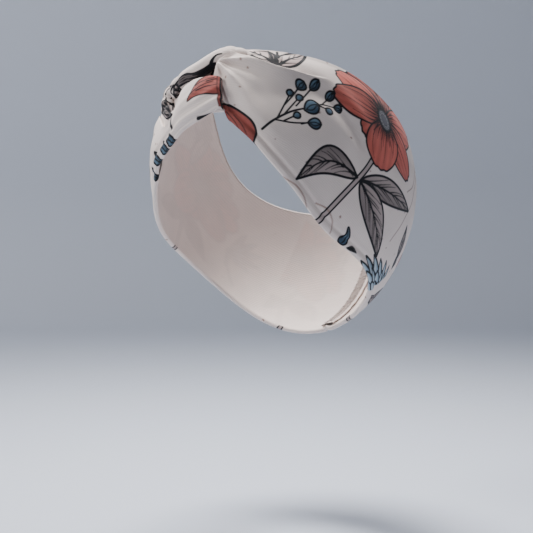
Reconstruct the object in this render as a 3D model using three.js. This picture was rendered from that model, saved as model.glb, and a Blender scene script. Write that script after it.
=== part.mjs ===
// Knotted jersey headband, in millimetres. +Z is up, -Y is where the wearer faces, +X is their left.
// The origin is the centre of the head that the band is stretched round.
// The band is a tilted ring on that head: high over the hairline in front, low at the nape behind.
// Each half is a flat tube of jersey. The two tubes bend round each other to make the knot in front.
import * as THREE from 'three';

// Driving dimensions
const HEAD_HALF_WIDTH = 77.5;
const HEAD_HALF_LENGTH = 89.5;
const HEAD_HALF_HEIGHT = 96.5;
const HEAD_PITCH = -7;                // degrees that the crown leans back
const RING_TILT = 48;                 // degrees that the ring's front is raised
const KNOT_ANGLE = -15;               // the knot is worn a little to the wearer's right
// Latitudes of the band's edges about the ring's axis, in degrees: front, side, back and waviness
const UPPER_EDGE = { front: 10.5, side: 29.5, back: 31.5, wave: -5.2 };
const LOWER_EDGE = { front: -22, side: -39, back: -33, wave: 5.2 };
const LAYER = 1.2;                    // thickness of one face of a tube, stretched
const GAP = 0.35;                     // clearance between neighbouring pieces
const EDGE_BEAD_RADIUS = 1.2;         // the rolled seam or fold along each edge
const PANEL_START = 32;               // degrees round the ring from the knot to where its gathers end
const KNOT_HALF_LENGTH = 26;          // from the knot's centre to the outside of each bend
const KNOT_LEG_SPREAD = 12.4;         // from the knot's centre line up or down to each leg
const KNOT_INNER_LIFT = 3.2;          // the legs that pass next to the head
const KNOT_OUTER_LIFT = 13.2;         // the legs that show outside
const KNOT_BEND_HALF_WIDTH = 3.1;      // the cloth bunched up where a bend turns back
const LEG_HALF_THICKNESS = 2.4;
// How each leg of a bend widens from the knot to the panel's end. along is a share of the way there,
// up a share of the leg's height there, and width a share of its width there.
const FANNED = { along: 0.7, up: 0.98, width: 0.9, outerLift: 0.5, innerLift: 0.85 };
const PINCHED = { along: 0.4, up: 1.1 };
const TURNING = { along: 0.45, up: 0.85, width: 0.6 };
const SEAM_ALLOWANCE = 6;             // half the width of the opened allowance behind the join
const SEAM_CLEARANCE = 2 * GAP;       // from the panels in to the allowance, and on in to the thread
const STITCH_REACH = 0.6;             // share of the allowance's half width that the stitches reach
const THREAD_END = 0.03;              // share of the join left bare at each end of the thread
const THREAD_RADIUS = 0.4;

// Fineness of the meshes
const RING_STEPS = 22;
const ACROSS_POINTS = 7;
const LOOP_STEPS = 32;
const LOOP_SIDES = 10;
const BEAD_SIDES = 6;
const THREAD_SIDES = 6;
const THREAD_WAVES = 9;
const STEPS_PER_WAVE = 6;

const radians = THREE.MathUtils.degToRad;
const sideways = new THREE.Vector3(1, 0, 0);
const forward = new THREE.Vector3(0, -Math.cos(radians(RING_TILT)), Math.sin(radians(RING_TILT)));
const ringAxis = new THREE.Vector3(0, Math.sin(radians(RING_TILT)), Math.cos(radians(RING_TILT)));

// An edge's latitude at a ring angle, from its values at the front, the sides and the back.
function edgeLatitude(edge, angle) {
  const mean = (edge.front + 2 * edge.side + edge.back) / 4;
  const frontToBack = (edge.front - edge.back) / 2;
  const endsToSides = (edge.front - 2 * edge.side + edge.back) / 4;
  const wave = edge.wave * (Math.cos(3 * angle) - Math.cos(angle));
  return radians(mean + frontToBack * Math.cos(angle) + endsToSides * Math.cos(2 * angle) + wave);
}

// A point on the head at a ring angle and latitude, raised off it by lift.
function onHead(angle, latitude, lift) {
  const direction = new THREE.Vector3()
    .addScaledVector(sideways, Math.cos(latitude) * Math.sin(angle))
    .addScaledVector(forward, Math.cos(latitude) * Math.cos(angle))
    .addScaledVector(ringAxis, Math.sin(latitude));
  const inHead = direction.clone().applyAxisAngle(sideways, radians(HEAD_PITCH));
  const radius = 1 / Math.hypot(
    inHead.x / HEAD_HALF_WIDTH,
    inHead.y / HEAD_HALF_LENGTH,
    inHead.z / HEAD_HALF_HEIGHT,
  );
  return direction.multiplyScalar(radius + lift);
}

// A closed solid through a list of rings of points, all with the same even number of points.
// Each end is closed by quads across the ring, so a thin bent section closes as well as a round one.
function loft(rings) {
  const count = rings[0].length;
  const positions = rings.flat().flatMap((point) => point.toArray());
  const indices = [];
  const quad = (a, b, c, d) => indices.push(a, b, c, a, c, d);
  for (let ring = 0; ring < rings.length - 1; ring += 1) {
    for (let k = 0; k < count; k += 1) {
      const here = ring * count + k;
      const beside = ring * count + ((k + 1) % count);
      quad(here, beside, beside + count, here + count);
    }
  }
  const last = (rings.length - 1) * count;
  for (let k = 0; k < count / 2 - 1; k += 1) {
    quad(count - 1 - k, count - 2 - k, k + 1, k);
    quad(last + k, last + k + 1, last + count - 2 - k, last + count - 1 - k);
  }
  const geometry = new THREE.BufferGeometry();
  geometry.setAttribute('position', new THREE.Float32BufferAttribute(positions, 3));
  geometry.setIndex(indices);
  return facingOut(geometry);
}

// Turns a closed mesh's faces round if its signed volume says that they point in.
function facingOut(geometry) {
  const position = geometry.getAttribute('position');
  const index = geometry.getIndex().array;
  const [a, b, c] = [new THREE.Vector3(), new THREE.Vector3(), new THREE.Vector3()];
  let volume = 0;
  for (let i = 0; i < index.length; i += 3) {
    a.fromBufferAttribute(position, index[i]);
    b.fromBufferAttribute(position, index[i + 1]);
    c.fromBufferAttribute(position, index[i + 2]);
    volume += a.dot(b.cross(c));
  }
  if (volume < 0) {
    for (let i = 0; i < index.length; i += 3) {
      [index[i], index[i + 1]] = [index[i + 1], index[i]];
    }
  }
  geometry.computeVertexNormals();
  return geometry;
}

// The angles, knot to back, of one half of the ring. side is 1 on the wearer's left, -1 on the right.
function halfRingAngles(side) {
  const start = radians(PANEL_START);
  const end = Math.PI - GAP / 2 / HEAD_HALF_LENGTH;
  return Array.from({ length: RING_STEPS + 1 }, (_, k) => (
    radians(KNOT_ANGLE) + side * THREE.MathUtils.lerp(start, end, k / RING_STEPS)
  ));
}

// Latitude at a share of the way from the lower edge bead to the upper one.
function panelLatitude(angle, share) {
  const inset = (2 * EDGE_BEAD_RADIUS + GAP) / HEAD_HALF_LENGTH;
  const lower = edgeLatitude(LOWER_EDGE, angle) + inset;
  const upper = edgeLatitude(UPPER_EDGE, angle) - inset;
  return THREE.MathUtils.lerp(lower, upper, share);
}

// One face of a tube: a thin shell over half the ring, from innerLift to a layer further out.
function panel(side, innerLift) {
  const shares = Array.from({ length: ACROSS_POINTS }, (_, k) => k / (ACROSS_POINTS - 1));
  return loft(halfRingAngles(side).map((angle) => {
    const row = (lift) => shares.map((share) => onHead(angle, panelLatitude(angle, share), lift));
    return [...row(innerLift), ...row(innerLift + LAYER).reverse()];
  }));
}

// The rolled edge where the two faces of a tube meet, along the upper or lower edge of one half.
function edgeBead(side, edge, inward) {
  const lift = LAYER + GAP / 2;
  return loft(halfRingAngles(side).map((angle) => (
    Array.from({ length: BEAD_SIDES }, (_, k) => {
      const turn = (2 * Math.PI * (k + 0.5)) / BEAD_SIDES;
      const middle = edgeLatitude(edge, angle) + (inward * EDGE_BEAD_RADIUS) / HEAD_HALF_LENGTH;
      const across = (EDGE_BEAD_RADIUS * Math.cos(turn)) / HEAD_HALF_LENGTH;
      return onHead(angle, middle + across, lift + EDGE_BEAD_RADIUS * Math.sin(turn));
    })
  )));
}

// Knot coordinates: along the ring, up across the band from its middle, and out from the head.
function inKnot(along, up, lift) {
  const angle = radians(KNOT_ANGLE) + along / HEAD_HALF_LENGTH;
  const middle = panelLatitude(angle, 0.5);
  return onHead(angle, middle + up / HEAD_HALF_LENGTH, lift);
}

// One tube's bend in the knot. On the wearer's left its upper leg shows outside and its lower leg
// returns next to the head. The other bend is the same turned half a turn about the knot's centre.
function knotLoop(side) {
  const endAlong = radians(PANEL_START) * HEAD_HALF_LENGTH - GAP;
  const endAngle = radians(KNOT_ANGLE) + side * radians(PANEL_START);
  const halfBand = (panelLatitude(endAngle, 1) - panelLatitude(endAngle, 0)) / 2 * HEAD_HALF_LENGTH;
  const endUp = halfBand / 2;
  const endHalfWidth = halfBand / 2 - GAP;
  const endLift = LAYER + GAP / 2;
  const middleLift = (KNOT_INNER_LIFT + KNOT_OUTER_LIFT) / 2;
  const legHalfWidth = KNOT_LEG_SPREAD - GAP;
  const bendLength = KNOT_HALF_LENGTH - LEG_HALF_THICKNESS;
  const fannedAlong = endAlong * FANNED.along;
  const fannedUp = endUp * FANNED.up;
  const fannedHalfWidth = endHalfWidth * FANNED.width;
  const pinchedAlong = endAlong * PINCHED.along;
  const pinchedUp = KNOT_LEG_SPREAD * PINCHED.up;
  const turningAlong = -bendLength * TURNING.along;
  const turningUp = KNOT_LEG_SPREAD * TURNING.up;
  const turningHalfWidth = legHalfWidth * TURNING.width;
  // Each station: along, up, lift, half width, and the section's quarter turns from lying face out
  const stations = [
    [endAlong, endUp, endLift, endHalfWidth, 0],
    [fannedAlong, fannedUp, KNOT_OUTER_LIFT * FANNED.outerLift, fannedHalfWidth, 0],
    [pinchedAlong, pinchedUp, KNOT_OUTER_LIFT, legHalfWidth, 0],
    [turningAlong, turningUp, KNOT_OUTER_LIFT, turningHalfWidth, 0.25],
    [-bendLength, 0, middleLift, KNOT_BEND_HALF_WIDTH, 1],
    [turningAlong, -turningUp, KNOT_INNER_LIFT, turningHalfWidth, 1.75],
    [pinchedAlong, -pinchedUp, KNOT_INNER_LIFT, legHalfWidth, 2],
    [fannedAlong, -fannedUp, KNOT_INNER_LIFT * FANNED.innerLift, fannedHalfWidth, 2],
    [endAlong, -endUp, endLift, endHalfWidth, 2],
  ];
  const route = new THREE.CatmullRomCurve3(stations.map(([x, y, z]) => new THREE.Vector3(x, y, z)));
  const shape = new THREE.CatmullRomCurve3(stations.map(([, , , w, t]) => new THREE.Vector3(w, t, 0)));
  const rings = [];
  for (let step = 0; step <= LOOP_STEPS; step += 1) {
    const t = step / LOOP_STEPS;
    const centre = route.getPoint(t);
    const { x: halfWidth, y: turn } = shape.getPoint(t);
    const facing = turn * (Math.PI / 2);
    const face = new THREE.Vector3(-Math.sin(facing), 0, Math.cos(facing));
    const atEnd = step === 0 || step === LOOP_STEPS;
    const tangent = atEnd ? new THREE.Vector3(-Math.cos(facing), 0, 0) : route.getTangent(t);
    const across = face.clone().cross(tangent).normalize();
    const through = tangent.clone().cross(across).normalize();
    rings.push(Array.from({ length: LOOP_SIDES }, (_, k) => {
      const turned = (2 * Math.PI * (k + 0.5)) / LOOP_SIDES;
      const point = centre.clone()
        .addScaledVector(across, halfWidth * Math.cos(turned))
        .addScaledVector(through, LEG_HALF_THICKNESS * Math.sin(turned));
      return inKnot(side * point.x, side * point.y, point.z);
    }));
  }
  return loft(rings);
}

// The seam allowance that joins the two halves at the back, opened flat against the head.
function backSeamAllowance() {
  const halfAngle = SEAM_ALLOWANCE / HEAD_HALF_LENGTH;
  const back = radians(KNOT_ANGLE) + Math.PI;
  return loft(Array.from({ length: ACROSS_POINTS }, (_, k) => {
    const share = k / (ACROSS_POINTS - 1);
    const corner = (turn, lift) => {
      const angle = back + turn * halfAngle;
      return onHead(angle, panelLatitude(angle, share), lift);
    };
    const outside = [-1, 0, 1].map((turn) => corner(turn, -SEAM_CLEARANCE));
    const inside = [1, 0, -1].map((turn) => corner(turn, -SEAM_CLEARANCE - LAYER));
    return [...outside, ...inside];
  }));
}

// The stitches that hold the allowance: one thread in a wave along the join, under the allowance.
function backSeamThread() {
  const back = radians(KNOT_ANGLE) + Math.PI;
  const steps = THREAD_WAVES * STEPS_PER_WAVE;
  const lift = -2 * SEAM_CLEARANCE - LAYER - THREAD_RADIUS;
  const halfWave = (STITCH_REACH * SEAM_ALLOWANCE) / HEAD_HALF_LENGTH;
  const middle = (share) => {
    const angle = back + halfWave * Math.sin(share * 2 * Math.PI * THREAD_WAVES);
    const across = THREE.MathUtils.lerp(THREAD_END, 1 - THREAD_END, share);
    return onHead(angle, panelLatitude(angle, across), lift);
  };
  const route = new THREE.CatmullRomCurve3(
    Array.from({ length: steps + 1 }, (_, k) => middle(k / steps)),
  );
  return loft(Array.from({ length: steps + 1 }, (_, k) => {
    const centre = route.getPoint(k / steps);
    const along = route.getTangent(k / steps);
    const outward = centre.clone().normalize();
    const across = along.clone().cross(outward).normalize();
    const up = across.clone().cross(along).normalize();
    return Array.from({ length: THREAD_SIDES }, (__, side) => {
      const turn = (2 * Math.PI * side) / THREAD_SIDES;
      return centre.clone()
        .addScaledVector(across, THREAD_RADIUS * Math.cos(turn))
        .addScaledVector(up, THREAD_RADIUS * Math.sin(turn));
    });
  }));
}

const headband = new THREE.Group();

function add(name, geometry, look) {
  const mesh = new THREE.Mesh(geometry, new THREE.MeshStandardMaterial({ ...look, metalness: 0 }));
  mesh.name = name;
  headband.add(mesh);
}

const PRINTED_JERSEY = { color: '#e6e0d8', roughness: 0.9 };
const PLAIN_JERSEY = { color: '#ded8cf', roughness: 0.9 };
const SEAM_JERSEY = { color: '#d3cbc0', roughness: 0.95 };
const THREAD = { color: '#efece6', roughness: 0.8 };

for (const [name, side] of [['left', 1], ['right', -1]]) {
  add(`${name}_outer_panel`, panel(side, LAYER + GAP), PRINTED_JERSEY);
  add(`${name}_inner_panel`, panel(side, 0), PLAIN_JERSEY);
  add(`${name}_upper_edge_fold`, edgeBead(side, UPPER_EDGE, -1), PRINTED_JERSEY);
  add(`${name}_lower_edge_seam`, edgeBead(side, LOWER_EDGE, 1), SEAM_JERSEY);
  add(`${name}_knot_loop`, knotLoop(side), PRINTED_JERSEY);
}
add('back_seam_allowance', backSeamAllowance(), SEAM_JERSEY);
add('back_seam_thread', backSeamThread(), THREAD);

export default headband;
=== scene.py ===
"""Looks of the knotted headband: printed jersey sheets, the gathered knot, seams and studio."""
import math

import bpy
import numpy as np
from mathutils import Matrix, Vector


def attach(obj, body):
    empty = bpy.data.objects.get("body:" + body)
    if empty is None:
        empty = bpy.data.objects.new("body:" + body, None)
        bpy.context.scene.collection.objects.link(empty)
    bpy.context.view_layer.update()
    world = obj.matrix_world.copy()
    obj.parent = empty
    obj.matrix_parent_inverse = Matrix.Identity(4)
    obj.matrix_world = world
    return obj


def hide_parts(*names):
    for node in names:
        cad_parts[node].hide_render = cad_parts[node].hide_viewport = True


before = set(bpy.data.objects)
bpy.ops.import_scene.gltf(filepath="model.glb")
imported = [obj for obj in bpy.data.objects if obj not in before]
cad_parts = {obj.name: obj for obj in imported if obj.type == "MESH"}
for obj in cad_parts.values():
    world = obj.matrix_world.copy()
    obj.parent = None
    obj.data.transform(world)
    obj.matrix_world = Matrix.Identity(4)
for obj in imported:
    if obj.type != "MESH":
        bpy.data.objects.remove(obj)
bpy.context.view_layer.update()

# The head and ring that the band is stretched round, in millimetres and degrees, as in the part
MM = 0.001
HEAD_HALF_AXES = np.array([77.5, 89.5, 96.5])
HEAD_PITCH = math.radians(-7)
RING_TILT = math.radians(48)
KNOT_ANGLE = math.radians(-15)
UPPER_EDGE = dict(front=10.5, side=29.5, back=31.5, wave=-5.2)
LOWER_EDGE = dict(front=-22, side=-39, back=-33, wave=5.2)
RING_RADIUS = HEAD_HALF_AXES[1]          # turns angles into lengths along and across the band
HALF_RING = math.pi * RING_RADIUS        # from the knot to the back seam, along the ring

SIDEWAYS = np.array([1.0, 0.0, 0.0])
FORWARD = np.array([0.0, -math.cos(RING_TILT), math.sin(RING_TILT)])
RING_AXIS = np.array([0.0, math.sin(RING_TILT), math.cos(RING_TILT)])

# Cloth
TUBE_THICKNESS = 2.8                     # both faces of a tube together
EDGE_RADIUS = 1.4                        # the rolled lower edge, where the seam is
UPPER_EDGE_RADIUS = 1.1                  # the folded upper edge
MESH_STEP = 0.62                         # spacing of the printed cloth's vertices
SEAM_GAP = 0.1                           # from each half's end to the middle of the back seam
FINEST_LINE = 0.65                       # thinner ones are printed lighter, not thinner
NO_INK = 9.0                             # the distance to ink, where there is none near
ROLL_ROWS = 9                            # rows that go round each rolled edge
PINCH = (20.5, 5.0)                      # where the left tube's folds meet, along and up from the knot


def srgb(red, green, blue):
    """A linear colour from its usual values of 0 to 255."""
    share = np.array([red, green, blue]) / 255
    return np.where(share <= 0.04045, share / 12.92, ((share + 0.055) / 1.055) ** 2.4)


CREAM = srgb(223, 209, 202)
TERRACOTTA = srgb(190, 98, 86)
TERRACOTTA_DARK = srgb(112, 57, 53)
TAUPE = srgb(108, 98, 97)
TAUPE_LIGHT = srgb(170, 155, 151)
BLUE = srgb(44, 64, 84)
BLUE_LIGHT = srgb(104, 131, 150)
BLUE_PALE = srgb(205, 214, 222)
PINK_SHADE = srgb(178, 154, 151)
BROWN = srgb(150, 122, 110)
INK = srgb(16, 17, 22)


# ---------------------------------------------------------------- shapes on the head

def smooth(value, low, high):
    """0 below low, 1 above high, with an even curve between."""
    share = np.clip((value - low) / (high - low), 0, 1)
    return share * share * (3 - 2 * share)


def bump(value, centre, width):
    """A rounded bump of height 1 about centre."""
    return np.exp(-((value - centre) / width) ** 2)


def edge_latitude(edge, angle):
    """An edge's latitude about the ring's axis, from its values in front, at the sides and behind."""
    mean = (edge["front"] + 2 * edge["side"] + edge["back"]) / 4
    front_to_back = (edge["front"] - edge["back"]) / 2
    ends_to_sides = (edge["front"] - 2 * edge["side"] + edge["back"]) / 4
    wave = edge["wave"] * (np.cos(3 * angle) - np.cos(angle))
    turned = front_to_back * np.cos(angle) + ends_to_sides * np.cos(2 * angle)
    return np.radians(mean + turned + wave)


def on_head(angle, latitude, lift):
    """Points at a ring angle and latitude, raised off the head by lift."""
    angle, latitude, lift = np.broadcast_arrays(angle, latitude, lift)
    direction = (
        (np.cos(latitude) * np.sin(angle))[..., None] * SIDEWAYS
        + (np.cos(latitude) * np.cos(angle))[..., None] * FORWARD
        + np.sin(latitude)[..., None] * RING_AXIS
    )
    cos, sin = math.cos(HEAD_PITCH), math.sin(HEAD_PITCH)
    in_head = np.stack([
        direction[..., 0],
        direction[..., 1] * cos - direction[..., 2] * sin,
        direction[..., 1] * sin + direction[..., 2] * cos,
    ], -1)
    radius = 1 / np.linalg.norm(in_head / HEAD_HALF_AXES, axis=-1)
    return direction * (radius + lift)[..., None]


def knot_angle(along):
    return KNOT_ANGLE + np.asarray(along) / RING_RADIUS


def middle_latitude(angle):
    return (edge_latitude(UPPER_EDGE, angle) + edge_latitude(LOWER_EDGE, angle)) / 2


def place(along, up, lift):
    """A point from its place along the ring from the knot, up across the band and out from the head."""
    angle = knot_angle(along)
    return on_head(angle, middle_latitude(angle) + np.asarray(up) / RING_RADIUS, lift)


def edges_up(along):
    """How far the lower and upper edges are from the band's middle line."""
    angle = knot_angle(along)
    half = (edge_latitude(UPPER_EDGE, angle) - edge_latitude(LOWER_EDGE, angle)) / 2 * RING_RADIUS
    # The stretched cloth sags over the temple and under the knot, and lies low behind the crown
    sag = 3.5 * bump(along, 68, 25) + 3.0 * bump(along, -6, 18) - 2.0 * bump(along, 33, 8)
    return -half - sag, half - 5.0 * bump(along, 118, 32)


# ---------------------------------------------------------------- curves

def curve_through(points, steps=8, closed=False):
    """A Catmull-Rom curve through a few points."""
    points = np.asarray(points, float)
    if closed:
        padded = np.concatenate([points[-1:], points, points[:2]])
    else:
        first = 2 * points[0] - points[1]
        last = 2 * points[-1] - points[-2]
        padded = np.concatenate([[first], points, [last]])
    out = []
    for a, b, c, d in zip(padded[:-3], padded[1:-2], padded[2:-1], padded[3:]):
        t = (np.arange(steps) / steps)[:, None]
        out.append(0.5 * (2 * b + (c - a) * t + (2 * a - 5 * b + 4 * c - d) * t ** 2
                          + (3 * b - a - 3 * c + d) * t ** 3))
    if not closed:
        out.append(points[-1:])
    return np.concatenate(out)


def turned(points, degrees, at=(0, 0), scale=1.0):
    """Points scaled, turned anticlockwise and moved to a place in the cloth."""
    turn = math.radians(degrees)
    matrix = np.array([[math.cos(turn), math.sin(turn)], [-math.sin(turn), math.cos(turn)]])
    return scale * np.asarray(points, float) @ matrix + np.asarray(at, float)


def axes_at(degrees):
    """The direction at an angle in the cloth, and the direction to its left."""
    turn = math.radians(degrees)
    axis = np.array([math.cos(turn), math.sin(turn)])
    return axis, np.array([-axis[1], axis[0]])


def nearest_on(points, start, step):
    """For each point and segment: the nearest place's share of the segment, and its distance."""
    offset = points[:, None] - start[None]
    share = np.clip((offset * step).sum(-1) / np.maximum((step ** 2).sum(-1), 1e-9), 0, 1)
    return share, np.linalg.norm(offset - share[..., None] * step, axis=-1)


# ---------------------------------------------------------------- the print

class Print:
    """Colours and ink of the print, at points of the cloth laid out flat in millimetres."""

    def __init__(self, cloth, seed):
        self.cloth = cloth.reshape(-1, 2)
        self.color = np.tile(CREAM, (len(self.cloth), 1))
        self.ink = np.full(len(self.cloth), NO_INK)
        self.random = np.random.default_rng(seed)

    def near(self, points):
        """The vertices that a shape's box and a margin round it hold."""
        margin = 3.0
        low, high = points.min(0) - margin, points.max(0) + margin
        return np.flatnonzero(np.all((self.cloth > low) & (self.cloth < high), axis=1))

    def stroke(self, points, width, end_width=None, color=None):
        """A line along points, from width at its start to end_width at its end."""
        points = np.asarray(points, float)
        near = self.near(points)
        if not len(near):
            return
        end_width = width if end_width is None else end_width
        step = np.diff(points, axis=0)
        length = np.linalg.norm(step, axis=1)
        share, distance = nearest_on(self.cloth[near], points[:-1], step)
        best = distance.argmin(1)
        rows = np.arange(len(near))
        before = np.concatenate([[0], np.cumsum(length)])[:-1]
        run = (before[best] + share[rows, best] * length[best]) / length.sum()
        line = width + (end_width - width) * run
        too_fine = np.maximum(FINEST_LINE - line, 0)
        edge = distance[rows, best] - (line + too_fine) / 2 + 0.4 * too_fine
        if color is None:
            self.ink[near] = np.minimum(self.ink[near], edge)
        else:
            cover = 1 - smooth(edge, -0.35, 0.35)[:, None]
            self.color[near] += (color - self.color[near]) * cover

    def region(self, outline, fill, line=0.9):
        """A filled closed shape, covering what was printed before. fill gives colours for points."""
        outline = np.asarray(outline, float)
        near = self.near(outline)
        if not len(near):
            return
        points = self.cloth[near]
        start, end = outline, np.roll(outline, -1, axis=0)
        step = end - start
        distance = nearest_on(points, start, step)[1].min(1)
        # A point is inside if a line from it crosses the outline an odd number of times
        crosses = (start[None, :, 1] > points[:, None, 1]) != (end[None, :, 1] > points[:, None, 1])
        rise = np.where(np.abs(step[:, 1]) < 1e-9, 1e-9, step[:, 1])
        across = start[:, 0] + (points[:, None, 1] - start[None, :, 1]) * step[:, 0] / rise
        inside = (crosses & (points[:, None, 0] < across)).sum(1) % 2 == 1
        signed = np.where(inside, -distance, distance)
        cover = 1 - smooth(signed, -0.25, 0.25)[:, None]
        self.color[near] += (fill(points) - self.color[near]) * cover
        self.ink[near] = np.where(signed < 0, NO_INK, self.ink[near])
        if line:
            self.ink[near] = np.minimum(self.ink[near], distance - line / 2)

    def take(self, other, where):
        """Another print's colours and ink instead of this one's, where the mask holds."""
        self.color[where] = other.color[where]
        self.ink[where] = other.ink[where]

    def leaf(self, base, tip, left, right, rib=0.0, veins=8, dark=TAUPE, light=TAUPE_LIGHT, line=1.35):
        """A leaf from base to tip. left and right are its bulges, rib is the bow of its midrib."""
        base, tip = np.asarray(base, float), np.asarray(tip, float)
        axis = tip - base
        length = np.linalg.norm(axis)
        axis = axis / length
        side = np.array([-axis[1], axis[0]])

        def at(share, away):
            share = np.asarray(share, float)[..., None]
            return base + share * length * axis + np.asarray(away)[..., None] * side

        def swell(share):
            return np.sin(np.pi * np.clip(share, 0, 1) ** 0.85) ** 0.9 * (1 - 0.18 * share)

        def midrib(share):
            return rib * np.sin(np.pi * share)

        def border(share, bulge):
            return at(share, midrib(share) + bulge * swell(share))

        def fill(points):
            away = (points - base) @ side
            run = np.clip((points - base) @ axis / length, 0, 1)
            lit = smooth(away - midrib(run), -right, left)[:, None]
            return dark + (light - dark) * (0.15 + 0.75 * lit)

        share = np.linspace(0, 1, 17)
        self.region(np.concatenate([border(share, left), border(share, -right)[::-1]]), fill, line)
        self.stroke(at(share, midrib(share)), line * 1.1, line * 0.4)
        # Veins leave the midrib in pairs, the right one a little further on, in uneven lengths
        for k in range(veins):
            root = 0.03 + 0.78 * (k + 0.35 * (k % 2)) / veins
            reach = np.linspace(0, 1, 5) * (0.95 - 0.3 * ((3 * k) % 4) / 4)
            run = root + (0.16 + 0.24 * (1 - root)) * reach
            for shift, bulge in ((0, left), (0.05, -right)):
                vein = at(run + shift, midrib(run) + bulge * swell(run) * reach * 0.9)
                self.stroke(vein, line * 0.65, 0.2)

    def petal(self, at, degrees, length, width, tint):
        """One petal from a point, with a ragged tip and inked creases."""
        ragged, creases = 0.015, 6

        def half_at(share):
            return width / 2 * np.sin(np.pi * share ** 0.9 * 0.90) ** 0.8

        share = np.linspace(0, 1, 15)
        half = half_at(share)
        tip = np.linspace(1, -1, 9)[1:-1]
        scallop = length * (1 + ragged * np.cos(tip * 6.0) - 0.02 * tip ** 2)
        outline = np.concatenate([
            np.stack([share * length * 0.97, half], -1),
            np.stack([scallop, tip * half[-1]], -1),
            np.stack([share * length * 0.97, -half], -1)[::-1],
        ])
        axis, side = axes_at(degrees)

        def fill(points):
            run = np.clip((points - at) @ axis / length, 0, 1)
            away = (points - at) @ side / width
            grain = 0.5 + 0.5 * np.sin(away * 34 + 3 * run)
            open_out = smooth(run, 0.1, 0.5) * (1 - 0.25 * smooth(run, 0.75, 1.0))
            lit = tint * (0.1 + 1.3 * open_out) + 0.4 * away + 0.3 * (grain - 0.5)
            return TERRACOTTA_DARK + (TERRACOTTA * 1.1 - TERRACOTTA_DARK) * np.clip(lit, 0, 1.3)[:, None]

        self.region(turned(outline, degrees, at), fill, 1.1)
        for k in range(creases):
            spread = (k + 0.5) / creases * 2 - 1
            start, stop = 0.16 + 0.06 * (k % 2), 0.86 - 0.4 * ((k * 2) % 3) / 2
            run = np.linspace(start, stop, 6)
            crease = np.stack([run * length, spread * half_at(run) * 0.82], -1)
            self.stroke(turned(crease, degrees, at), 0.85, 0.12)

    def ring_of(self, centre, axes, degrees, fill, line, points=28):
        """An oval of one colour."""
        turn = np.linspace(0, 2 * np.pi, points, endpoint=False)
        oval = np.stack([axes[0] * np.cos(turn), axes[1] * np.sin(turn)], -1)
        self.region(turned(oval, degrees, centre), lambda p: np.tile(fill, (len(p), 1)), line)

    def bud(self, at, degrees, length, width, stalk=None, split=False, dark=BLUE, light=BLUE_LIGHT, line=1.1):
        """A rounded bud or petal, on its stalk if it has one."""
        if stalk is not None:
            self.stroke(curve_through([stalk, (np.asarray(stalk) * 0.4 + np.asarray(at) * 0.6), at]), 1.0)
        share = np.linspace(0, 1, 9)
        half = width / 2 * np.sin(np.pi * share) ** 0.6 * (0.8 + 0.4 * share)
        outline = np.concatenate([
            np.stack([share * length, half], -1),
            np.stack([share * length, -half], -1)[::-1],
        ])
        side = axes_at(degrees)[1]

        def fill(points):
            lit = smooth((points - at) @ side, -width / 2, width / 2)[:, None]
            return dark + (light - dark) * lit * 0.8

        self.region(turned(outline, degrees, at), fill, line)
        if split:
            for side_step in (-0.2, 0.12):
                middle = [(0.1 * length, 0), (0.5 * length, side_step * width), (0.95 * length, 0)]
                self.stroke(turned(curve_through(middle), degrees, at), 0.7)

    def specks(self, count, low, high):
        """Small brown flecks at random in a box."""
        for _ in range(count):
            x, y = self.random.uniform(low, high)
            size = self.random.uniform(0.5, 1.1)
            self.ring_of((x, y), (size, size * 0.7), self.random.uniform(0, 180), BROWN, 0, 10)


def flat_cloth(points, along):
    """Lays points out flat, in millimetres from a place on the band's middle line."""
    step = 0.5
    centre = place(along, 0.0, 0.0)
    across = place(along, step, 0.0) - place(along, -step, 0.0)
    onward = place(along + step, 0.0, 0.0) - place(along - step, 0.0, 0.0)
    outward = np.cross(onward, across)
    outward /= np.linalg.norm(outward)
    onward /= np.linalg.norm(onward)
    upward = np.cross(outward, onward)
    offset = points - centre
    x, y, z = offset @ onward, offset @ upward, offset @ outward
    flat = np.hypot(x, y)
    reach = RING_RADIUS * np.arctan2(flat, RING_RADIUS + z) / np.maximum(flat, 1e-6)
    return np.stack([x * reach, y * reach], -1).reshape(-1, 2)


# ---------------------------------------------------------------- what is printed where

SIDE_ALONG = 110                         # middle of each side's print, along from the knot
BACK_ALONG = 246                         # middle of the print round the back
BACK_FROM = 222                          # where it takes over from the print of the side

# A poppy's petals: direction, length and width. Its seed disc is an oval, turned.
POPPY_PETALS = (
    (62, 27, 27), (98, 26, 27), (130, 28, 23), (27, 33, 26), (241, 23, 24), (160, 37, 19),
    (174, 41.5, 18), (196, 39.5, 21), (344, 41, 20), (293, 31.5, 30),
)
POPPY_DISC = np.array([7.4, 5.2])
POPPY_DISC_TURN = -33


def poppy(ink, at, degrees):
    """A flower of loose petals about a seed disc."""
    for number, (direction, length, width) in enumerate(POPPY_PETALS):
        tint = 0.66 + 0.2 * math.sin(2.4 * number)
        ink.petal(np.array(at, float), degrees + direction, length, width, tint)
    tilt = degrees + POPPY_DISC_TURN
    spokes, seeds = 40, 14
    for spoke in range(spokes):
        rim = axes_at(360 * spoke / spokes)[0] * POPPY_DISC
        reach = 1.5 + 0.42 * (spoke % 4)
        ink.stroke(turned([rim * 0.98, rim * reach], tilt, at), 0.8, 0.2)
    ink.ring_of(at, POPPY_DISC, tilt, srgb(70, 70, 76), 1.1)
    ink.ring_of(at, POPPY_DISC * (0.84, 0.78), tilt, srgb(132, 130, 136), 0.3)
    ink.ring_of(at, POPPY_DISC * (0.5, 0.42), tilt, srgb(96, 97, 105), 0.4)
    for seed in range(seeds):
        spot = axes_at(360 * seed / seeds)[0] * POPPY_DISC * 0.68
        ink.ring_of(turned([spot], tilt, at)[0], (0.6, 0.45), 0, srgb(60, 62, 70), 0, 8)


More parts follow.
